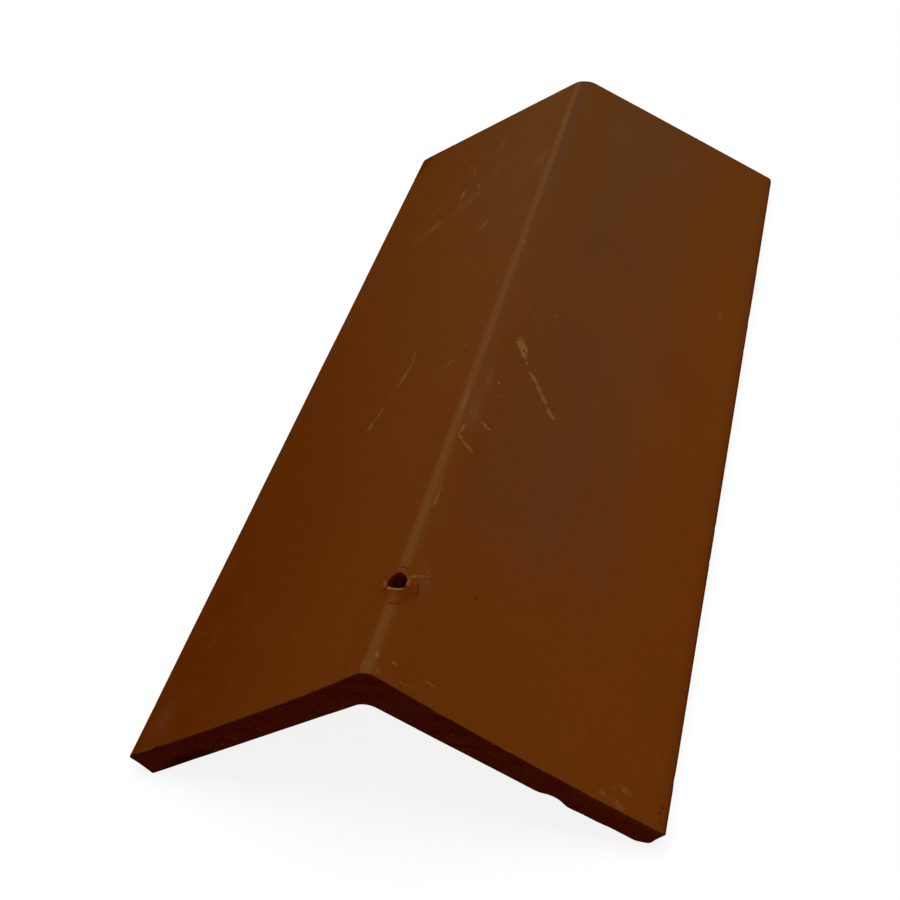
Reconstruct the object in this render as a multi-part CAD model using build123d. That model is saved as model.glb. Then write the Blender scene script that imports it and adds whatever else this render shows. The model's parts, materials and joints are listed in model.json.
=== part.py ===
from build123d import *

import os
from math import cos, radians, sin

# Clay angle ridge tile: one fired piece, two wings meeting at a rounded ridge, one nail hole on the crest.
# The ridge runs along Y, the nail hole is near the -Y end, and the tile stands on its long edges at Z = 0.

# Driving dimensions, in millimetres and degrees
length = 450.0  # along the ridge
wing_width = 122.0  # down an outer face, from the ridge line to the long edge
ridge_angle = 114.0  # between the two outer faces
edge_thickness = 12.5  # of a wing at its long edge
crest_thickness = 14.5  # of a wing where it runs into the ridge
face_hollow = 1.2  # how far an outer face dips below straight, halfway down the wing
crest_radius = 6.0  # outside of the fold
valley_radius = 7.0  # inside of the fold
edge_lean = 2.0  # how far the long edge is cut back at the underside
corner_radius = 3.0  # corners of a wing, seen square on
outer_rim_radius = 1.5  # rim all round the outer face
under_rim_radius = 1.0  # rim all round the underside
nail_hole_diameter = 9.0
nail_hole_setback = 45.5  # hole axis from the -Y end
overrun = 5.0  # how far the punch stands past what it cuts

half_angle = radians(ridge_angle / 2)


def wing_point(down, depth):
    # Point of the right wing's section: a way down its outer face and a depth square below that face.
    # The outer ridge line is the origin.
    return Vector(
        down * sin(half_angle) - depth * cos(half_angle),
        0,
        -down * cos(half_angle) - depth * sin(half_angle),
    )


ridge_line = wing_point(0, 0)
mid_face = wing_point(wing_width / 2, face_hollow)
outer_edge = wing_point(wing_width, 0)
under_edge = wing_point(wing_width - edge_lean, edge_thickness)
valley_line = Vector(0, 0, -crest_thickness / sin(half_angle))


def nearest(shapes, points):
    # For each point, the vertex or edge that lies nearest to it
    return [shapes.sort_by_distance(point)[0] for point in points]


def end_section():
    # V section: hollow outer faces, straight underside, leaning long edges, rounded ridge and valley
    right_half = [
        ThreePointArc(ridge_line, mid_face, outer_edge),
        Line(outer_edge, under_edge),
        Line(under_edge, valley_line),
    ]
    left_half = [mirror(line, about=Plane.YZ) for line in right_half]
    section = make_face(right_half + left_half)
    section = fillet(nearest(section.vertices(), [ridge_line]), crest_radius)
    return fillet(nearest(section.vertices(), [valley_line]), valley_radius)


def wing_corners():
    # Halfway through the thickness at each of the four corners
    right = (outer_edge + under_edge) / 2
    ends = (-length / 2, length / 2)
    return [Vector(x, y, right.Z) for x in (-right.X, right.X) for y in ends]


def ridge_tile():
    # The section drawn out along the ridge, with the wing corners rounded.
    # Each rim then runs on smoothly round its whole face, so one of its edges stands for all of it.
    tile = extrude(end_section(), amount=length / 2, both=True)
    tile = fillet(nearest(tile.edges(), wing_corners()), corner_radius)
    tile = fillet(nearest(tile.edges(), [outer_edge]), outer_rim_radius)
    tile = fillet(nearest(tile.edges(), [under_edge]), under_rim_radius)
    # The nail hole goes straight down through the crest
    punch_reach = overrun - under_edge.Z
    tile -= Pos(0, nail_hole_setback - length / 2, 0) * Cylinder(nail_hole_diameter / 2, 2 * punch_reach)
    return Pos(0, 0, -tile.bounding_box().min.Z) * tile


os.makedirs("parts", exist_ok=True)
export_step(ridge_tile(), "parts/ridge_tile.step")
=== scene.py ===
import json
import math

import bpy
import numpy as np
from mathutils import Matrix, Vector, noise


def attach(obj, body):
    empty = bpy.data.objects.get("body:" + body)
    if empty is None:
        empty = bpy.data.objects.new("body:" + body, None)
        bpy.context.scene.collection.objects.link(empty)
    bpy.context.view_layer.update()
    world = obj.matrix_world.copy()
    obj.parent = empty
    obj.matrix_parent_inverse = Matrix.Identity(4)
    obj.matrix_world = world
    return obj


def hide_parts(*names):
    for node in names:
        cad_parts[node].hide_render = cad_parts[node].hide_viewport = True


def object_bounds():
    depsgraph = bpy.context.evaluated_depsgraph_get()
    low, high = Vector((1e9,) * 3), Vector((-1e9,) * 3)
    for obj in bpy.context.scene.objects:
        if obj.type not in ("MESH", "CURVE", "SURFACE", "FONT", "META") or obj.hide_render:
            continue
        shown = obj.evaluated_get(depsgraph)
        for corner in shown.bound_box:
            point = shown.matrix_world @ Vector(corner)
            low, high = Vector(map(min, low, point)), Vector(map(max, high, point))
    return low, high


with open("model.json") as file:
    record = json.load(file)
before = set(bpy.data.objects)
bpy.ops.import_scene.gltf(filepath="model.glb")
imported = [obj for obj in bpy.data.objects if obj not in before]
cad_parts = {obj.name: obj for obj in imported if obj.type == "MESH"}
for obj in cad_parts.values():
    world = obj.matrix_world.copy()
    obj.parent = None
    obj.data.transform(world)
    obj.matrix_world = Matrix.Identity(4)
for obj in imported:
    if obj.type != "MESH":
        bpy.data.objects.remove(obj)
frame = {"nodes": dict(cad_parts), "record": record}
cadLow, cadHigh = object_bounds()  # the box that the dressed tile has to stay in
mm = 0.001  # shapes below are in millimetres, Blender is in metres
print("frame loaded:", sorted(frame["nodes"]))

# What the frame gives of the tile: its length, its height and its nail hole
tileNode = "ridge_tile"
nailHole = next(m for m in frame["record"]["mounts"] if m["name"] == "nail_hole")
halfLength = (cadHigh.y - cadLow.y) / 2 / mm
crestTop = cadHigh.z / mm
holeAlong = nailHole["pos_m"][1] / mm
holeRadius = nailHole["dims"]["r_mm"]

# Ridge tile, in millimetres and degrees. "Down" is measured from the ridge down a wing.
tileShape = {
    "wingWidth": 122.0,
    "ridgeAngle": 114.0,
    "edgeThickness": 12.5,
    "crestThickness": 14.5,
    "faceHollow": 1.2,  # dip of the outer face at mid-wing, gone at the far end
    "hollowStart": (4, 16),  # where the dip comes in, down from the ridge
    "crestRadius": 6.0,
    "farCrestRadius": 10.9,  # the fold is blunter at the far end
    "valleyRadius": 7.0,
    "valleyDrift": -2.0,  # the inside of the fold lies a little to the left
    "edgeLean": 2.0,  # long edge cut back at the underside
    "cornerRadius": 3.0,  # wing corners, seen square on
    "nearLeftCorner": 1.2,
    "nearRightCorner": 2.2,  # broken at the top only
    "farLeftCorner": 5.0,
    "longRimRadius": 2.4,  # long edges come off the die well rounded
    "endRimRadius": 0.3,  # wire-cut ends stay crisp
    "underRimRadius": 1.0,
    "cornerBand": 10.0,  # rows this near an end bend round the corner
    "gridStep": 2.1,
    "cornerSteps": 9,  # columns round a corner
    "endRows": (0, 0.12, 0.4, 1, 2.5, 5, 9),  # rows at an end, in radii of its rim
    "thicknessSteps": 8,
    "holePatch": 14.0,  # half side of the ringed patch round the nail hole
    "patchMargin": 2.0,  # the underside narrows from this far outside the patch
    "patchCells": 36,
    "patchRings": 26,
    "ringCrowding": 1.5,  # rings stand closer towards the hole
}

halfAngle = math.radians(tileShape["ridgeAngle"] / 2)
wingSin, wingCos = math.sin(halfAngle), math.cos(halfAngle)
ridgeLine = crestTop + tileShape["crestRadius"] * (1 / wingSin - 1)  # where the outer faces would meet
underDown = tileShape["wingWidth"] - tileShape["edgeLean"]
underEdgeX = underDown * wingSin - tileShape["edgeThickness"] * wingCos
underEdgeDrop = underDown * wingCos + tileShape["edgeThickness"] * wingSin
valleyDrop = tileShape["crestThickness"] / wingSin
underSlope = (underEdgeDrop - valleyDrop) / underEdgeX
outerEdgeX = tileShape["wingWidth"] * wingSin
hair = 1e-6  # closer than this counts as on a face


def smooth(low, high, value):
    # soft step from 0 at low to 1 at high
    t = np.clip((value - low) / (high - low), 0, 1)
    return t * t * (3 - 2 * t)


def rim(distance, radius):
    # how far a rounded rim lies below the face, that far in from the edge
    inside = np.clip(radius - distance, 0, radius)
    return radius - np.sqrt(radius * radius - inside * inside)


def lumps(x, y, size, seed):
    # smooth noise between -1 and 1 with bumps of that size
    return np.array([noise.noise(Vector((a / size, b / size, seed))) for a, b in zip(x, y)])


def tent(x, drop, slope, radius):
    # height of a roof shape with a rounded ridge, and its up-pointing normal
    tilt = math.sin(math.atan(slope))
    top = ridgeLine - drop - radius * math.hypot(1, slope)
    onArc = np.abs(x) < radius * tilt
    arc = top + np.sqrt(np.clip(radius * radius - x * x, 0, None))
    height = np.where(onArc, arc, ridgeLine - drop - np.abs(x) * slope)
    leanX = np.where(onArc, x / radius, np.sign(x) * tilt)
    return height, leanX, np.sqrt(1 - leanX * leanX)


# Marks on the pressed faces: along from the near end and down the wing, left wing negative,
# for both ends of a stroke, then its width and strength
tileMarks = {
    "scrape": [  # knocks through the skin to the buff body
        (208, 14, 199, 17.5, 5.0, 1.0),
        (204.5, 12.5, 202, 18, 3.6, 0.8),
        (199.5, 17.5, 196.5, 18.5, 2.4, 0.9),
        (195, 20, 194, 20.5, 1.9, 0.7),
        (190, 23, 186.5, 26.5, 2.9, 1.0),
        (187, 25.5, 174, 35.5, 1.5, 0.6),
        (184, 28, 181.5, 29.5, 2.4, 0.7),
        (180, 31, 177, 33.5, 2.5, 0.8),
        (174.5, 35, 170, 38.5, 3.0, 1.0),
        (217.5, -49.5, 206, -48, 2.6, 0.38),
        (206.5, -48, 188, -52, 3.4, 0.58),
        (188.5, -52, 181, -53.5, 2.2, 0.3),
        (179, -54.5, 168, -58.5, 2.6, 0.48),
        (169, -58.5, 164, -59.5, 3.2, 0.66),
        (192, -18.5, 189, -23.5, 3.2, 0.45),
        (200, -16, 199, -10.5, 1.8, 0.35),
        (145, 9.5, 143, 14, 1.4, 1.0),
        (173.5, 11, 172, 12, 1.3, 0.7),
        (166.5, 14, 165.5, 14, 1.2, 0.7),
        (148, 3, 146, 4, 1.4, 0.5),
        (141, 3.5, 131, 2, 1.8, 0.5),
        (132, 2, 127.5, 6, 1.7, 0.6),
        (128.5, 5.5, 125.5, 10.5, 2.2, 0.75),
        (106, 2.5, 86, 3, 0.9, 0.5),
        (96, 3, 87, 3, 1.0, 0.5),
        (233, 13, 232.5, 13.5, 1.5, 0.35),
        (235.5, 19.5, 232.5, 21, 1.8, 0.35),
        (237, 26.5, 235.5, 26, 1.6, 0.4),
        (229, 16, 228, 16.5, 1.5, 0.35),
        (226, 20, 225, 20.5, 1.4, 0.3),
        (223.5, 11, 222.5, 11, 1.5, 0.25),
        (309, 105, 296, 106, 2.4, 0.35),
        # the next stroke is a thin painted highlight on the ridge at the far end, not a knock
        (417, -3, 392, -5, 2.2, 0.4),
        (281, -3, 276, 1, 1.8, 0.5),
        (395, -64.5, 390, -64, 3.0, 0.45),
        (376, -66, 364, -66.5, 4.2, 0.52),
        (375, -56.5, 370.5, -55, 2.2, 0.62),
        (359.5, -65, 357, -64.5, 2.6, 0.3),
        (396, -36.5, 370, -49, 10.0, 0.17),
        (371, -48.5, 352, -62.5, 14.0, 0.22),
        (353, -62, 335, -96, 15.0, 0.2),
        (406, -70, 399, -69, 3.5, 0.28),
        (386, -73, 379, -75, 4.0, 0.28),
        (350, -77, 344, -81, 4.0, 0.3),
        (368.5, -82, 365, -86, 3.0, 0.35),
        (325, -35, 312, -38.5, 3.4, 0.6),
        (10.5, 1.5, 8, 2.5, 1.9, 0.75),
        (9.5, 7.5, 9, 10, 1.6, 0.8),
        (9.5, 21, 9.5, 26, 1.4, 0.5),
        (5.5, -2, 4, -2, 1.6, 0.6),
        (3.5, 4, 2, 5, 1.8, 0.45),
        (2.5, -2.5, 1.5, -2.5, 1.5, 0.4),
        (3.5, 11, 3.5, 19, 1.0, 0.35),
        (48, 4, 50.5, 6, 1.2, 0.7),
        (50, 5.5, 54, 11, 1.3, 0.55),
        (47, -7.5, 44, -6.5, 2.0, 0.6),
        (54.5, 6, 54, 7, 1.4, 0.3),
        (55.5, 9, 55, 9.5, 1.4, 0.35),
        (59.5, 7, 59, 7.5, 1.3, 0.35),
        (10, 102, 8.8, 104.5, 4.6, 0.34),
        (2.4, 101, 1.6, 103.5, 3.6, 0.36),
        (3.4, 98.5, 2.6, 100.5, 3.0, 0.24),
        (5, 93.5, 3, 96, 3.6, 0.24),
        (7.8, 98.5, 7.2, 99.2, 2.0, 0.34),
    ],
    "rub": [  # soft greyish rubs
        (428, -51, 400, -49, 7.0, 0.4),
        (389, -81, 384, -80, 8.0, 0.25),
        (415, -65, 412, -64, 5.0, 0.3),
        (438, -87.5, 427, -87, 6.0, 0.3),
        (377, -7, 354, -16, 14.0, 0.3),
        (320, -7.5, 313, -20, 14.0, 0.2),
        (281, -15, 280, -19, 4.0, 0.3),
        (205, -20, 197, -8, 4.0, 0.2),
        (188, 5, 160, 8, 4.5, 0.3),
        (165, 5, 135, 5, 5.5, 0.16),
        (166, -1, 138, -0.5, 2.4, 0.6),
        (34, -110, 4, -113, 18.0, 0.12),
        (22, -104, 3, -110, 24.0, 0.17),
        (176, 5, 120, 8, 16.0, 0.2),
        (112, 8, 58, 8, 11.0, 0.2),
        (58, 9, 40, 11, 15.0, 0.28),
        (428, 29, 402, 33, 22.0, 0.22),
        (436, 64, 392, 66, 14.0, 0.22),
        (130, -21, 117, -26, 12.0, 0.15),
        (263, 18, 250, 14.5, 5.0, 0.22),
        (262, -19, 257, -25, 9.0, 0.18),
    ],
    "pit": [  # small dark pits and hairlines
        (10, 118, 10, 118.4, 0.8, 0.75),
        (7.5, 117.5, 7.5, 117.8, 0.7, 0.75),
        (3.5, 118.5, 3.5, 118.9, 0.9, 0.75),
        (202, 17, 201, 17.5, 1.5, 0.5),
        (200.5, 32, 200.5, 36.5, 1.0, 0.5),
        (6.5, -11.5, 6.5, -12, 1.0, 0.6),
        (56, 30, 56, 30.5, 1.0, 0.6),
        (43, -5, 41, -6.5, 0.9, 0.7),
    ],
    "paintedShade": [  # painted shade: a red-brown halo of a dent round the nail hole, and the far left corner's rounded edge
        (50, -1, 37, -1, 17, 0.45),
        (45, 6, 38, 4, 8, 0.4),
        (449, -115, 430, -121, 12, 0.75),
    ],
}


def strokeEllipse(stroke):
    # middle of a stroke, its turn, and half its length and width
    along0, down0, along1, down1, width = stroke[:5]
    start = Vector((down0 * wingSin, along0 - halfLength))
    run = Vector((down1 * wingSin, along1 - halfLength)) - start
    return start + run / 2, math.atan2(run.y, run.x), (run.length + width) / 2, width / 2


def softMarks(x, y, strokes):
    # soft ellipses added up at the given places
    total = np.zeros_like(x)
    for stroke in strokes:
        middle, turn, halfRun, halfWide = strokeEllipse(stroke)
        right, up = x - middle.x, y - middle.y
        lengthways = (right * math.cos(turn) + up * math.sin(turn)) / halfRun
        sideways = (up * math.cos(turn) - right * math.sin(turn)) / halfWide
        total += stroke[-1] * 2 * np.clip(1 - np.hypot(lengthways, sideways), 0, 1)
    return total


# Rim of the nail hole as the punch left it, and the mark of the punch's collar round it, in millimetres
# and in degrees round from the right wing
holeTear = {
    "turn": (-149, -114, -84, -53, -25, 0, 28, 49, 76, 102, 133, 159, 186),
    # how far out the rim is at each of these turns
    "reach": (4.5, 4.1, 3.9, 3.8, 2.9, 2.6, 3.0, 3.2, 3.5, 4.5, 4.4, 4.7, 4.7),
    "tornShares": (0.1, 0.4),  # of the thickness, between which the tear runs out
    "lips": ((-100, 44, 1.0), (14, 46, 0.45)),  # rim broken to a bevel: middle, half its width, paleness
    "lipReach": 1.4,
    "lipDepth": 0.35,
    "lipFlatShare": 0.2,  # of the bevel, at its full depth
    "lipRagged": (22.0, 0.4, 1.3),  # degrees from lump to lump, their share of the reach, and a seed
    "paleGain": 2.0,  # bare clay shows on all of a bevel but its fading ends
    "ringCentre": (-0.2, -2.4),  # the collar's mark, from the hole's centre
    "ringAcross": 7.3,
    "ringAlong": 9.3,
    "ringWidth": 0.6,
    "ringDepth": 0.25,
    "ringArcs": ((87, 15), (9, 36), (-83, 17)),  # where it shows: middle and half its width
    "arcFullShare": 0.6,  # of a half width, before it fades
    "calmReach": 16.0,  # the faces' unevenness fades out this near the hole
}


def inArc(degrees, middle, halfWidth):
    # 1 in the middle of an arc, fading to 0 at its ends
    away = np.abs((degrees - middle + 180) % 360 - 180)
    return 1 - smooth(halfWidth * holeTear["arcFullShare"], halfWidth, away)


def holeEdge(degrees, w):
    # the hole's radius at a share w of the thickness: torn at the top, round further in
    torn = np.interp(degrees, holeTear["turn"], holeTear["reach"], period=360)
    return torn + (holeRadius - torn) * smooth(*holeTear["tornShares"], w)


def holeMarks(x, y):
    # the torn lip, how pale it is, and the mark of the punch's collar
    tear = holeTear
    angle = np.degrees(np.arctan2(y - holeAlong, x))
    lumpTurn, lumpShare, seed = tear["lipRagged"]
    lipEdge = tear["lipReach"] * (1 + lumpShare * lumps(angle, angle * 0, lumpTurn, seed))
    fromRim = np.hypot(x, y - holeAlong) - holeEdge(angle, 0)
    bevel = 1 - smooth(tear["lipFlatShare"], 1, fromRim / lipEdge)
    lip, pale = np.zeros_like(x), np.zeros_like(x)
    for middle, halfWidth, paleness in tear["lips"]:
        broken = bevel * inArc(angle, middle, halfWidth)
        lip = np.maximum(lip, broken)
        pale = np.maximum(pale, np.clip(broken * tear["paleGain"], 0, 1) * paleness)

    ringX, ringY = x - tear["ringCentre"][0], y - holeAlong - tear["ringCentre"][1]
    fromRing = np.abs(np.hypot(ringX / tear["ringAcross"], ringY / tear["ringAlong"]) - 1)
    ringAngle = np.degrees(np.arctan2(ringY, ringX))
    shows = np.clip(sum(inArc(ringAngle, *arc) for arc in tear["ringArcs"]), 0, 1)
    ring = (1 - smooth(0, tear["ringWidth"], fromRing * tear["ringAcross"])) * shows
    return lip, pale, ring


# Unevenness and damage, in millimetres
tileWear = {
    # size and depth of the lumps, and a seed
    "waves": (75.0, 0.35, 3.1),  # slow ones of the pressed faces
    "ripples": (12.0, 0.06, 8.4),
    "sanding": (12.0, 0.24, 2.2),
    "wireDrag": (5.0, 0.3, 6.6),  # left by the cutting wire on the ends
    "wireDragSpan": 12.0,  # laid over this thickness
    "chipSize": 4.5,
    "chipDepth": 0.7,
    "chipReach": 1.6,
    "chipRarity": 0.38,
    "chipSeed": 5.7,
    "chipPaleness": 0.1,
    "gougeWidth": 2.0,  # knocks at least this wide are sunk into the mesh
    "gougeDepth": 0.12,
    # knocks under the right wing's near end: depth, and where down the wing each starts and is full
    "thin": (0.4, 84, 92),
    "scoop": (1.75, 69.5, 76),
    "scoopEnd": (78, 85.5),
    "dip": (0.45, 99, 105),
    "cornerDepth": 2.5,
    "cornerStart": 117.2,
    "cornerRun": 4.8,
    "knockReach": 12.0,  # how far the knocks run in from the end
}


def uneven(x, y, kind):
    # lumps of one kind, from 0 up to their depth
    size, depth, seed = tileWear[kind]
    return (1 + lumps(x, y, size, seed)) / 2 * depth


def outerWear(x, y, down, toEnd):
    # depth worn or pressed into the outer face, and how much shows as bare clay or as the collar's mark
    wear = tileWear
    toLongEdge = tileShape["wingWidth"] - down
    arris = np.where(y < 0, np.minimum(toEnd, toLongEdge), toLongEdge)
    chips = np.clip(lumps(x, y, wear["chipSize"], wear["chipSeed"]) - wear["chipRarity"], 0, 0.5) * 2
    chips = chips * (1 - smooth(0, wear["chipReach"], arris)) * wear["chipDepth"]
    lip, pale, ring = holeMarks(x, y)
    wide = [stroke for stroke in tileMarks["scrape"] if stroke[-2] >= wear["gougeWidth"]]
    calm = smooth(0, holeTear["calmReach"], np.hypot(x, y - holeAlong))
    depth = (uneven(x, y, "waves") + uneven(x, y, "ripples")) * calm + chips
    depth += lip * holeTear["lipDepth"] + ring * holeTear["ringDepth"]
    depth += softMarks(x, y, wide) * wear["gougeDepth"]
    return depth, np.maximum(pale, np.clip(chips, 0, wear["chipPaleness"])), ring


def underWear(x, y, down, toEnd):
    # clay knocked off under the right wing at the near end: a scoop, a dip, and the corner
    wear = tileWear

    def knock(name):
        depth, start, full = wear[name]
        return depth * smooth(start, full, down)

    scoop = knock("scoop") * (1 - smooth(*wear["scoopEnd"], down))
    corner = wear["cornerDepth"] * np.clip((down - wear["cornerStart"]) / wear["cornerRun"], 0, 1)
    knocked = (x > 0) * (knock("thin") + scoop + knock("dip") + corner)
    atEnd = (y < 0) * (1 - smooth(0, wear["knockReach"], toEnd))
    return knocked * atEnd + uneven(x, y, "sanding")


# How the far end opened out in the kiln, against the near end, in millimetres
kilnWarp = {"farCrest": -7.1, "farCrestDrift": -3.1, "farLeftLift": 2.2, "farRightLift": 0.9}

# Stains on the near end, soot low on the left wing and dust high on the right one: where down the wing
# and at which shares of the thickness each starts and is full
endStain = {
    "sootFrom": (72, 90),
    "sootTo": (117, 107),
    "sootShares": (0.35, 0.95),
    "dustFrom": (45, 105),
    "dustShares": (0.7, 0.0),
}


def tilePoints(x, y, w):
    # nominal places to the real tile: x across, y along, w from 0 on the outer face to 1 on the underside
    shape = tileShape
    down = np.abs(x) / wingSin
    toLongEdge = shape["wingWidth"] - down
    toEnd = halfLength - np.abs(y)
    left, near = x < 0, y < 0
    nearCorner = np.where(left, shape["nearLeftCorner"], shape["nearRightCorner"])
    farCorner = np.where(left, shape["farLeftCorner"], shape["cornerRadius"])
    pull = rim(toLongEdge, np.where(near, nearCorner, farCorner))
    pull = np.where(near & (x > 0), pull * (1 - w), pull)  # only the top of the near right one is broken
    bent = halfLength - pull - toEnd * (shape["cornerBand"] - pull) / shape["cornerBand"]
    along = np.where(toEnd < shape["cornerBand"], np.sign(y) * bent, y)
    far = (y / halfLength + 1) / 2

    worn, bare, ring = outerWear(x, y, down, toEnd)
    crestRadius = shape["crestRadius"] + (shape["farCrestRadius"] - shape["crestRadius"]) * far
    height, leanX, leanZ = tent(x, 0, wingCos / wingSin, crestRadius)
    share = np.clip(down / shape["wingWidth"], 0, 1)
    hollow = 4 * shape["faceHollow"] * share * (1 - share)
    hollow = hollow * smooth(*shape["hollowStart"], down) * (1 - far)
    cut = rim(toLongEdge, shape["longRimRadius"]) + rim(toEnd, shape["endRimRadius"]) + hollow + worn
    outer = np.stack([x - leanX * cut, along, height - leanZ * cut], -1)

    narrowing = smooth(shape["holePatch"] + shape["patchMargin"], outerEdgeX, np.abs(x))
    inX = x * (1 - (1 - underEdgeX / outerEdgeX) * narrowing)
    foldX = inX - shape["valleyDrift"] * (1 - share)
    inHeight, inLeanX, inLeanZ = tent(foldX, valleyDrop, underSlope, shape["valleyRadius"])
    fill = rim(toLongEdge, shape["underRimRadius"]) + rim(toEnd, shape["underRimRadius"])
    fill = fill + underWear(x, y, down, toEnd)
    under = np.stack([inX + inLeanX * fill, along, inHeight + inLeanZ * fill], -1)
    points = outer + (under - outer) * w[:, None]

    # the cutting wire leaves the ends a little uneven between their rims
    onEnd = toEnd < hair
    drag = uneven(x, w * tileWear["wireDragSpan"], "wireDrag")
    points[:, 1] -= np.sign(y) * onEnd * np.sin(np.pi * np.clip(w, 0, 1)) * drag

    tip = np.clip(np.abs(x) / outerEdgeX, 0, 1)
    tipLift = np.where(left, kilnWarp["farLeftLift"], kilnWarp["farRightLift"])
    points[:, 0] += far * (1 - tip) * kilnWarp["farCrestDrift"]
    points[:, 2] += far * ((1 - tip) * kilnWarp["farCrest"] + tip * tipLift)
    points[:, 2] = np.clip(points[:, 2], 0, crestTop)  # stays in the solid's box

    onTop = w < hair
    # how far the crest faces up; its colour is darkened there as painted shade against the lamp's
    # brightening
    crestShadeMask = np.clip((leanZ - wingSin) / (1 - wingSin), 0, 1)
    soot = smooth(*endStain["sootFrom"], down) * smooth(*endStain["sootTo"], down)
    soot = soot * smooth(*endStain["sootShares"], w)
    dust = smooth(*endStain["dustFrom"], down) * smooth(*endStain["dustShares"], w)
    marks = {
        "across": x,
        "bareClay": bare * onTop,
        "punchRing": ring * onTop,
        "crestShadeMask": crestShadeMask * onTop,
        "soot": soot * (onEnd & near & left),
        "dust": dust * (onEnd & near & ~left),
        "rub": softMarks(x, y, tileMarks["rub"]),
        # painted shade round the nail hole and at the far left corner
        "paintedShade": softMarks(x, y, tileMarks["paintedShade"]),
    }
    return points, marks


def spread(start, end, step):
    # even places from start to just before end, no more than a step apart
    count = max(1, math.ceil((end - start) / step))
    return [start + (end - start) * k / count for k in range(count)]


def gridLines():
    # columns across and rows along: close at the rims, even over the hole patch, wider elsewhere
    shape = tileShape
    patch, cells, step = shape["holePatch"], shape["patchCells"], shape["gridStep"]
    turns = [math.radians(90 * k / shape["cornerSteps"]) for k in range(shape["cornerSteps"] + 1)]
    rimDown = [shape["wingWidth"] - shape["cornerRadius"] * (1 - math.sin(turn)) for turn in turns]
    rimX = [down * wingSin for down in rimDown]
    rightSide = spread(patch, rimX[0], step) + rimX
    middle = [patch * (2 * k / cells - 1) for k in range(1, cells)]
    columns = [-x for x in rightSide[::-1]] + middle + rightSide
    fromEnd = [shape["endRimRadius"] * radii for radii in shape["endRows"]]
    first, last = holeAlong - patch, holeAlong + patch
    rows = [e - halfLength for e in fromEnd[:-1]]
    rows += spread(fromEnd[-1] - halfLength, first, step)
    rows += [first + 2 * patch * k / cells for k in range(cells)]
    rows += spread(last, halfLength - fromEnd[-1], step)
    rows += [halfLength - e for e in fromEnd[::-1]]
    return np.array(columns), np.array(rows)


def tileMesh():
    # one closed skin: both faces, the ends, the long edges and the wall of the nail hole
    shape = tileShape
    columns, rows = gridLines()
    turns = np.linspace(0, np.pi, shape["thicknessSteps"] + 1)
    layers = (1 - np.cos(turns)) / 2  # closer at the rims
    nI, nJ, nK = len(columns) - 1, len(rows) - 1, len(layers) - 1
    i0, i1 = (int(np.argmin(np.abs(columns - s * shape["holePatch"]))) for s in (-1, 1))
    j0, j1 = (int(np.argmin(np.abs(rows - holeAlong - s * shape["holePatch"]))) for s in (-1, 1))
    places, index, faces, kinds = [], {}, [], []
    pressed, wireCut, sanded, punched = 0, 1, 2, 3  # material slots

    def at(i, j, k):
        if (i, j, k) not in index:
            index[i, j, k] = len(places)
            places.append((columns[i], rows[j], layers[k]))
        return index[i, j, k]

    def quad(kind, *corners):
        faces.append(corners)
        kinds.append(kind)

    for i in range(nI):
        for j in range(nJ):
            if i0 <= i < i1 and j0 <= j < j1:
                continue
            quad(pressed, at(i, j, 0), at(i + 1, j, 0), at(i + 1, j + 1, 0), at(i, j + 1, 0))
            quad(sanded, at(i, j, nK), at(i, j + 1, nK), at(i + 1, j + 1, nK), at(i + 1, j, nK))
    for k in range(nK):
        for i in range(nI):
            quad(wireCut, at(i, 0, k + 1), at(i + 1, 0, k + 1), at(i + 1, 0, k), at(i, 0, k))
            quad(wireCut, at(i, nJ, k), at(i + 1, nJ, k), at(i + 1, nJ, k + 1), at(i, nJ, k + 1))
        for j in range(nJ):
            quad(pressed, at(0, j, k), at(0, j + 1, k), at(0, j + 1, k + 1), at(0, j, k + 1))
            quad(pressed, at(nI, j, k + 1), at(nI, j + 1, k + 1), at(nI, j + 1, k), at(nI, j, k))

    # rings close in from the square patch to the nail hole, above and below, and its wall joins them
    border = [(i, j0) for i in range(i0, i1)] + [(i1, j) for j in range(j0, j1)]
    border += [(i, j1) for i in range(i1, i0, -1)] + [(i0, j) for j in range(j1, j0, -1)]

    def ring(layer, share):
        start = len(places)
        for i, j in border:
            x, y = columns[i], rows[j] - holeAlong
            edge = holeEdge(math.degrees(math.atan2(y, x)), layer)
            scale = 1 + (edge / math.hypot(x, y) - 1) * share
            places.append((x * scale, holeAlong + y * scale, layer))
        return list(range(start, len(places)))

    rings, crowding = shape["patchRings"], shape["ringCrowding"]
    shares = [1 - (1 - k / rings) ** crowding for k in range(1, rings + 1)]
    above = [[at(i, j, 0) for i, j in border]] + [ring(0, s) for s in shares]
    below = [[at(i, j, nK) for i, j in border]] + [ring(1, s) for s in shares]
    wall = [above[-1]] + [ring(w, 1) for w in layers[1:-1]] + [below[-1]]
    faceSets = ((pressed, above, False), (sanded, below, True), (punched, wall, False))
    for kind, loops, flip in faceSets:
        for a, b in zip(loops, loops[1:]):
            for n in range(len(border)):
                corners = (a[n - 1], a[n], b[n], b[n - 1])
                quad(kind, *(corners[::-1] if flip else corners))

    points, marks = tilePoints(*np.array(places).T)
    mesh = bpy.data.meshes.new("ridgeTile")
    mesh.from_pydata((points * mm).tolist(), [], faces)
    mesh.polygons.foreach_set("material_index", kinds)
    mesh.shade_smooth()
    for name, values in marks.items():
        mesh.attributes.new(name, "FLOAT", "POINT").data.foreach_set("value", values)
    mesh.update()
    print("tile mesh:", len(points), "points,", sum(len(f) - 2 for f in faces), "triangles")
    return mesh


tile = bpy.data.objects.new("ridgeTile", tileMesh())
bpy.context.scene.collection.objects.link(tile)
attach(tile, "root")
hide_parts(tileNode)


def toLinear(hexColour):
    parts = [int(hexColour[k:k + 2], 16) / 255 for k in (1, 3, 5)]
    return [c / 12.92 if c <= 0.04045 else ((c + 0.055) / 1.055) ** 2.4 for c in parts] + [1]


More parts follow.
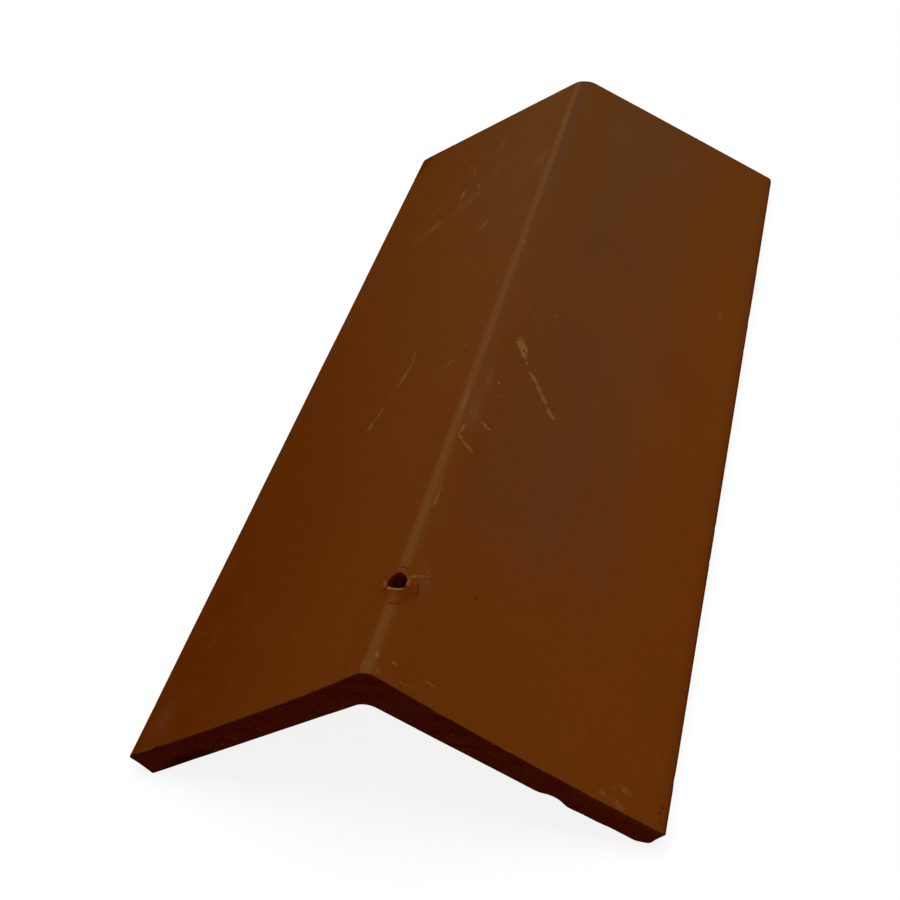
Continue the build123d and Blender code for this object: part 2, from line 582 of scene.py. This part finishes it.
def addNode(tree, kind, inputs, output=0, **settings):
    # adds a node, sets it, links or fills its inputs, and gives back one of its outputs
    node = tree.nodes.new("ShaderNode" + kind)
    for name, value in settings.items():
        setattr(node, name, value)
    for socket, value in inputs.items():
        if isinstance(value, bpy.types.NodeSocket):
            tree.links.new(value, node.inputs[socket])
        else:
            node.inputs[socket].default_value = value
    return node.outputs[output] if node.outputs else node


noiseRoughness = 0.55  # share that each finer layer of a pattern keeps


def startFinish(name, look):
    # empty material, and what its colours follow: the place in millimetres, patterns and marks
    material = bpy.data.materials.new(name)
    material.use_nodes = True
    tree = material.node_tree
    tree.nodes.clear()
    place = addNode(tree, "TexCoord", {}, "Object")
    place = addNode(tree, "VectorMath", {0: place, "Scale": 1 / mm}, operation="SCALE")
    source = {"place": place, "along": addNode(tree, "SeparateXYZ", {0: place}, "Y")}
    for pattern, (size, detail, shift) in look["patterns"].items():
        fitted = {"Vector": place, "Location": [shift] * 3, "Scale": [1 / s for s in size]}
        fitted = addNode(tree, "Mapping", fitted)
        lumpy = {"Vector": fitted, "Scale": 1, "Detail": detail, "Roughness": noiseRoughness}
        source[pattern] = addNode(tree, "TexNoise", lumpy)
    for mark in look["marks"]:
        source[mark] = addNode(tree, "Attribute", {}, "Fac", attribute_name=mark)
    return material, tree, source


def addSum(tree, source, weights, start=0.0):
    # sources added up by weight
    total = start
    for name, weight in weights.items():
        total = addNode(tree, "Math", {0: source[name], 1: weight, 2: total}, operation="MULTIPLY_ADD")
    return total


def addField(tree, steps):
    # soft steps multiplied together: a value, where its step starts and is full, and how high it is then
    field = None
    for value, *step in steps:
        if step:
            start, full, most = step
            limits = {0: value, 1: start, 2: full, 3: 0, 4: most}
            value = addNode(tree, "MapRange", limits, interpolation_type="SMOOTHSTEP")
        if field is not None:
            value = addNode(tree, "Math", {0: field, 1: value}, operation="MULTIPLY")
        field = value
    return field


def addLayers(tree, source, look, base, layers):
    # colours laid over each other: a source, its step if it has one, and the colour's name
    for name, *step, colour in layers:
        mask = addField(tree, [(source[name], *step)])
        mixed = {0: mask, 6: base, 7: toLinear(look[colour])}
        base = addNode(tree, "Mix", mixed, 2, data_type="RGBA")
    return base


def addStrokes(tree, place, strokes):
    # soft ellipses added up in the shader, where they are too fine for the mesh
    total = 0.0
    for stroke in strokes:
        middle, turn, halfRun, halfWide = strokeEllipse(stroke)
        fitted = {"Location": (*middle, 0), "Rotation": (0, 0, turn), "Scale": (halfRun, halfWide, 1)}
        fitted = addNode(tree, "Mapping", {"Vector": place, **fitted}, vector_type="TEXTURE")
        spot = addNode(tree, "TexGradient", {"Vector": fitted}, 1, gradient_type="SPHERICAL")
        added = {0: spot, 1: stroke[-1] * 2, 2: total}
        total = addNode(tree, "Math", added, operation="MULTIPLY_ADD")
    return total


def endFinish(tree, source, look, base):
    # sums and fields of the sources, the colours that follow them, and a fine relief
    for name, weights in look["sums"].items():
        source[name] = addSum(tree, source, weights)
    for name, steps in look["fields"].items():
        source[name] = addField(tree, [(source[value], *step) for value, *step in steps])
    height = addSum(tree, source, look["heightMix"])
    relief = {"Strength": look["bump"], "Distance": look["bumpDepth"] * mm, "Height": height}
    shader = addNode(tree, "BsdfPrincipled", {
        "Base Color": addLayers(tree, source, look, base, look["layers"]),
        "Roughness": addSum(tree, source, look["roughMix"], look["roughness"]),
        "Specular IOR Level": look["specular"],
        "Normal": addNode(tree, "Bump", relief),
    })
    addNode(tree, "OutputMaterial", {0: shader})


# Terracotta with a smooth skin, pressed against the die while wet: even brown with faint clouds,
# a painted highlight along the ridge, painted shade on the crest's top against the lamp, and buff knocks
# where the skin is broken
pressedLook = {
    # skin at the left edge, the ridge and the right edge, at the near end and at the far end; the far
    # end's are paler and bluer, partly painted sheen
    "nearLeft": "#542101",
    "nearRidge": "#5C2C08",
    "nearRight": "#602D08",
    "farLeft": "#592E0C",
    "farRidge": "#5C3718",
    "farRight": "#5D320F",
    "toRidge": (-108, 0, 1),  # steps across the tile from one of them to the next
    "toRight": (4, 95, 1),
    "deepBrown": "#552604",
    "warmBrown": "#61300A",
    "edgeRed": "#531F00",
    "shade": "#502B0E",
    "greyBlue": "#51321D",
    # painted shade on the crest's top, near and far, against the lamp's brightening
    "crestShadeNear": "#542F0F",
    "crestShadeFar": "#4F301A",
    # painted highlight along the ridge, near and far
    "ridgeHighlightNear": "#5E3614",
    "ridgeHighlightFar": "#5D3B20",
    "rubGrey": "#60452F",
    "scrapeBuff": "#694923",
    "scrapeTan": "#68401A",
    "lipBuff": "#695329",
    "speck": "#6C401C",
    "ringBrown": "#481A02",
    "pitDark": "#300C00",
    "ridgeHighlightTaper": 0.15,  # the painted highlight along the ridge is narrower by this share at the far end
    "ridgeHighlightDrift": -3.7,  # and runs off to the left there
    "shakeSize": 2.0,  # strokes get wavy, broken edges
    "shakeReach": 2.0,
    "shakeDetail": 3,
    "shakeRoughness": 0.65,
    # specks of grog and open pores: spacing, and the largest radius as a share of it
    "dots": {"specks": (5.0, 0.09), "flecks": (19.0, 0.036), "pores": (28.0, 0.018)},
    "dotRarity": 0.45,
    "dotFadeShare": 0.4,  # of the largest radius
    "dotCover": 0.45,
    # sizes across, along and up, then detail and a shift that moves the pattern
    "patterns": {
        "cloud": ((40, 70, 40), 3, 0.0),
        "mottle": ((9, 14, 9), 3, 4.0),
        "streak": ((9, 150, 9), 3, 9.0),
        "grain": ((1.1, 1.1, 1.1), 3, 2.0),  # finer in real clay, drawn this coarse to show
        "ragged": ((1.3, 1.3, 1.3), 2, 6.0),
    },
    "marks": ("across", "rub", "paintedShade", "crestShadeMask", "bareClay", "punchRing"),
    "sums": {
        "broken": {"scrape": 1.0, "ragged": 2.0, "grain": 0.8},
        "softRub": {"rub": 0.75, "mottle": 0.5, "ragged": 0.5},
        "cloudy": {"streak": 1.0, "cloud": 0.5},
        "slanted": {"along": 0.03, "across": 1.0},  # nearer the ridge towards the far end
    },
    # what is multiplied together, each with where it starts, where it is full and how high it is then
    "fields": {
        "shaded": (  # darker field on the right wing
            ("cloud", -0.3, 0.7, 0.45),
            ("slanted", -5, 11, 1),
            ("across", 82, 30, 1),
            ("along", -180, -100, 1),
        ),
        "greyedBand": (  # greyer, bluer band over the right wing's far part
            ("cloudy", 0.2, 1.25, 0.58),
            ("across", 2, 34, 1),
            ("across", 88, 52, 1),
            ("along", -180, -100, 1),
        ),
        "knocked": (("broken", 1.5, 2.7, 1), ("scrape", 0.02, 0.3, 1)),
        "rubbed": (("softRub", 0.45, 1.7, 1), ("rub", 0, 0.7, 1)),
        # painted shade on the crest's top
        "crestShade": (("crestShadeMask", 0, 1, 0.85),),
        "farCrestShade": (("crestShade",), ("fromNear",)),
        # painted highlight along the ridge
        "ridgeHighlight": (("fromRidgeHighlight", 2.9, 0.87, 0.85),),
        "farRidgeHighlight": (("ridgeHighlight",), ("fromNear",)),
    },
    # what is laid over the skin, in order, each with its step in the same way, and its colour
    "layers": (
        ("cloud", 0.5, 0.75, 0.25, "deepBrown"),
        ("mottle", 0.5, 0.75, 0.25, "warmBrown"),
        ("shaded", "shade"),
        ("greyedBand", "greyBlue"),
        ("across", 96.5, 101.5, 0.4, "edgeRed"),
        # painted shade on the crest's top
        ("crestShade", "crestShadeNear"),
        ("farCrestShade", "crestShadeFar"),
        # painted highlight along the ridge
        ("ridgeHighlight", "ridgeHighlightNear"),
        ("farRidgeHighlight", "ridgeHighlightFar"),
        # painted shade round the nail hole and at the far left corner
        ("paintedShade", 0, 1, 0.8, "edgeRed"),
        ("grain", 0.55, 0.85, 0.3, "speck"),
        ("grain", 0.42, 0.25, 0.3, "deepBrown"),
        ("rubbed", "rubGrey"),
        ("scrape", 0, 0.9, 0.4, "scrapeTan"),
        ("knocked", "scrapeBuff"),
        ("bareClay", "lipBuff"),
        ("specks", "speck"),
        ("flecks", "scrapeTan"),
        ("pores", "pitDark"),
        ("punchRing", 0.1, 0.9, 0.85, "ringBrown"),
        ("pit", 0.2, 0.9, 1, "pitDark"),
    ),
    "roughness": 0.53,
    "roughMix": {"mottle": 0.14, "knocked": 0.2, "ridgeHighlight": -0.08},
    "specular": 0.0,  # the fired skin is matt and shows no reflection
    "heightMix": {"grain": 0.3, "mottle": 0.5},
    "bump": 0.35,
    "bumpDepth": 0.25,
}


def pressedTerracotta(look):
    material, tree, source = startFinish("smooth pressed terracotta", look)
    place, along, across = source["place"], source["along"], source["across"]

    # strokes, shaken by a noise about its middle
    shake = {"Vector": place, "Scale": 1 / look["shakeSize"]}
    shake.update({"Detail": look["shakeDetail"], "Roughness": look["shakeRoughness"]})
    shake = addNode(tree, "TexNoise", shake, "Color")
    shake = addNode(tree, "VectorMath", {0: shake, 1: (0.5, 0.5, 0.5)}, operation="SUBTRACT")
    flat = addNode(tree, "CombineXYZ", {0: across, 1: along})
    reach = (look["shakeReach"], look["shakeReach"], 0)
    shaken = addNode(tree, "VectorMath", {0: shake, 1: reach, 2: flat}, operation="MULTIPLY_ADD")
    for name in ("scrape", "pit"):
        source[name] = addStrokes(tree, shaken, tileMarks[name])

    # dots, one in some of the cells
    for name, (spacing, size) in look["dots"].items():
        cells = {"Vector": place, "Scale": 1 / spacing, "Randomness": 1}
        gap = addNode(tree, "TexVoronoi", cells, "Distance", voronoi_dimensions="2D")
        chance = addNode(tree, "TexVoronoi", cells, "Color", voronoi_dimensions="2D")
        chance = addNode(tree, "SeparateColor", {0: chance}, 0)
        radius = addField(tree, [(chance, look["dotRarity"], 1, size)])
        inside = addNode(tree, "Math", {0: radius, 1: gap}, operation="SUBTRACT")
        source[name] = addField(tree, [(inside, 0, size * look["dotFadeShare"], look["dotCover"])])

    # distance from the middle of the painted highlight along the ridge, which drifts and narrows towards
    # the far end
    source["fromNear"] = fromNear = addField(tree, [(along, -halfLength, halfLength, 1)])
    slant = -look["ridgeHighlightDrift"] / (2 * halfLength)
    drift = addNode(tree, "Math", {0: along, 1: slant, 2: across}, operation="MULTIPLY_ADD")
    drift = addNode(tree, "Math", {0: drift, 1: -look["ridgeHighlightDrift"] / 2}, operation="ADD")
    taper = {0: fromNear, 1: look["ridgeHighlightTaper"], 2: 1}
    taper = addNode(tree, "Math", taper, operation="MULTIPLY_ADD")
    drift = addNode(tree, "Math", {0: drift, 1: taper}, operation="MULTIPLY")
    source["fromRidgeHighlight"] = addNode(tree, "Math", {0: drift}, operation="ABSOLUTE")

    # near and far skins, the far one paler and bluer, partly painted sheen
    skins = []
    for end in ("near", "far"):
        turns = (("across", *look["toRidge"], end + "Ridge"), ("across", *look["toRight"], end + "Right"))
        skins.append(addLayers(tree, source, look, toLinear(look[end + "Left"]), turns))
    mixed = {0: fromNear, 6: skins[0], 7: skins[1]}
    skin = addNode(tree, "Mix", mixed, 2, data_type="RGBA")
    endFinish(tree, source, look, skin)
    return material


# What all the clay's open surfaces have: drag marks, pores and pale grains of grog
openBody = {
    "marks": (),
    "sums": {},
    "fields": {},
    "layers": (
        ("cloud", 0.45, 0.75, 0.45, "brown"),
        ("drag", 0.45, 0.75, 0.6, "deep"),
        ("grain", 0.55, 0.4, 0.5, "deep"),
        ("grog", 0.66, 0.74, 0.7, "grog"),
        ("grog", 0.32, 0.24, 0.8, "pore"),
    ),
    "roughMix": {},
    "specular": 0.0,
    "heightMix": {"grain": 0.4, "drag": 0.5, "grog": 0.3},
}

# Terracotta cut with a wire: open body, red-brown, dragged across the end, with dust and soot on it
wireCutLook = {
    **openBody,
    "body": "#681D05",
    "deep": "#480E02",
    "brown": "#5E2C0C",
    "grog": "#7A4216",
    "pore": "#220602",
    "dustTan": "#7A3E10",
    "sootBlack": "#1C0200",
    "roughness": 0.8,
    "bump": 0.8,
    "bumpDepth": 0.5,
    "patterns": {
        "cloud": ((24, 24, 10), 3, 0.0),
        "drag": ((16, 2, 1.6), 3, 5.0),
        "grain": ((1.3, 1.3, 1.3), 3, 2.0),  # drawn coarser than real grains, so that it shows
        "grog": ((1.8, 1.8, 1.8), 1, 8.0),
    },
    "marks": ("dust", "soot"),
    "sums": {
        "dusty": {"dust": 1.0, "drag": 0.8, "cloud": 0.4},
        "sooty": {"soot": 1.0, "drag": 0.8, "cloud": 0.4},
    },
    "layers": (
        *openBody["layers"],
        ("dusty", 0.8, 1.7, 0.3, "dustTan"),
        ("sooty", 0.8, 1.7, 0.65, "sootBlack"),
    ),
}

# The nail hole's wall, torn by the punch: the same body without stains, redder and painted lighter against
# the shade inside the hole
punchedPaintedLightLook = {**wireCutLook, **openBody, "body": "#7C2C0C", "deep": "#5E1A05", "brown": "#7A3A14"}

# Terracotta underside, sanded so that it lifts off the former: dull and dusty, even brown
sandedLook = {
    **openBody,
    "body": "#5C2E13",
    "deep": "#43200C",
    "brown": "#6A3A1A",
    "grog": "#8A5A30",
    "pore": "#2A1006",
    "roughness": 0.85,
    "bump": 0.9,
    "bumpDepth": 0.5,
    "patterns": {
        "cloud": ((60, 90, 60), 3, 1.0),
        "drag": ((3, 80, 3), 2, 5.0),
        "grain": ((1.6, 1.6, 1.6), 3, 2.0),  # drawn coarser than real sand, so that it shows
        "grog": ((2.2, 2.2, 2.2), 1, 8.0),
    },
}


def openTerracotta(name, look):
    material, tree, source = startFinish(name, look)
    endFinish(tree, source, look, toLinear(look["body"]))
    return material


# in the order of the mesh's material slots
finishes = (
    pressedTerracotta(pressedLook),
    openTerracotta("wire-cut terracotta", wireCutLook),
    openTerracotta("sanded terracotta", sandedLook),
    # the hole's wall is painted lighter against the shade inside the hole
    openTerracotta("punched terracotta painted lighter", punchedPaintedLightLook),
)
for finish in finishes:
    tile.data.materials.append(finish)
print("materials:", [m.name for m in tile.data.materials])

# Stage: pale floor, one broad soft light from above, white behind
stage = {
    "floorSize": 14.0,  # metres
    "white": "#FFFFFF",  # floor and backdrop, as the camera sees them
    "floorBounce": "#909090",  # what the floor throws back on the tile
    "shadowShare": 0.12,  # how much of the floor's own shading the camera sees
    "lampSize": 1.4,
    "lampPlace": (0.02, 0.10, 1.65),
    "lampPower": 34.0,
    "ambient": 0.16,
}


def seenDirectly(tree):
    # 1 for what the camera sees, straight or through gloss and glass, 0 for bounced light
    seen = 0.0
    for kind in ("Is Camera Ray", "Is Glossy Ray", "Is Transmission Ray"):
        ray = addNode(tree, "LightPath", {}, kind)
        seen = addNode(tree, "Math", {0: ray, 1: seen}, operation="MAXIMUM")
    return seen


def paleFloor():
    material = bpy.data.materials.new("pale studio floor")
    material.use_nodes = True
    tree = material.node_tree
    tree.nodes.clear()
    seen = seenDirectly(tree)
    colours = {0: seen, 6: toLinear(stage["floorBounce"]), 7: toLinear(stage["white"])}
    colour = addNode(tree, "Mix", colours, 2, data_type="RGBA")
    matt = addNode(tree, "BsdfDiffuse", {"Color": colour})
    white = addNode(tree, "Emission", {"Strength": 1})
    share = addNode(tree, "Math", {0: seen, 1: 1 - stage["shadowShare"]}, operation="MULTIPLY")
    mixed = addNode(tree, "MixShader", {0: share, 1: matt, 2: white})
    addNode(tree, "OutputMaterial", {0: mixed})
    return material


half = stage["floorSize"] / 2
floorMesh = bpy.data.meshes.new("floor")
floorCorners = [(-half, -half, 0), (half, -half, 0), (half, half, 0), (-half, half, 0)]
floorMesh.from_pydata(floorCorners, [], [(0, 1, 2, 3)])
floorMesh.materials.append(paleFloor())
floor = bpy.data.objects.new("floor", floorMesh)
bpy.context.scene.collection.objects.link(floor)

lampData = bpy.data.lights.new("overheadSoftbox", "AREA")
lampData.size = stage["lampSize"]
lampData.energy = stage["lampPower"]
lamp = bpy.data.objects.new("overheadSoftbox", lampData)
lamp.location = stage["lampPlace"]
lamp.rotation_euler = Vector(stage["lampPlace"]).to_track_quat("Z", "Y").to_euler()
bpy.context.scene.collection.objects.link(lamp)

world = bpy.data.worlds.new("studio")
bpy.context.scene.world = world
world.use_nodes = True
skyTree = world.node_tree
skyStrength = addNode(skyTree, "MapRange", {0: seenDirectly(skyTree), 3: stage["ambient"], 4: 1})
skyTree.links.new(skyStrength, skyTree.nodes["Background"].inputs["Strength"])
skyTree.nodes["Background"].inputs["Color"].default_value = toLinear(stage["white"])
print("stage lit")

# Camera, in millimetres from the middle of the ridge line, matched to the photo's corners
view = {
    "place": (141.2, -552.6, 383.3),
    "aim": (-13.4, -61.94, -40.0),
    "roll": -6.02,  # degrees
    "lens": 61.72,
    "sensor": 36,
}
cameraData = bpy.data.cameras.new("camera")
cameraData.lens = view["lens"]
cameraData.sensor_width = view["sensor"]
camera = bpy.data.objects.new("camera", cameraData)
eye, aim = ((Vector(view[k]) + Vector((0, 0, ridgeLine))) * mm for k in ("place", "aim"))
level = (aim - eye).to_track_quat("-Z", "Y").to_matrix()
turned = level @ Matrix.Rotation(math.radians(view["roll"]), 3, "Z")
camera.matrix_world = Matrix.Translation(eye) @ turned.to_4x4()
bpy.context.scene.collection.objects.link(camera)
bpy.context.scene.camera = camera
bpy.context.scene.view_settings.view_transform = "Standard"
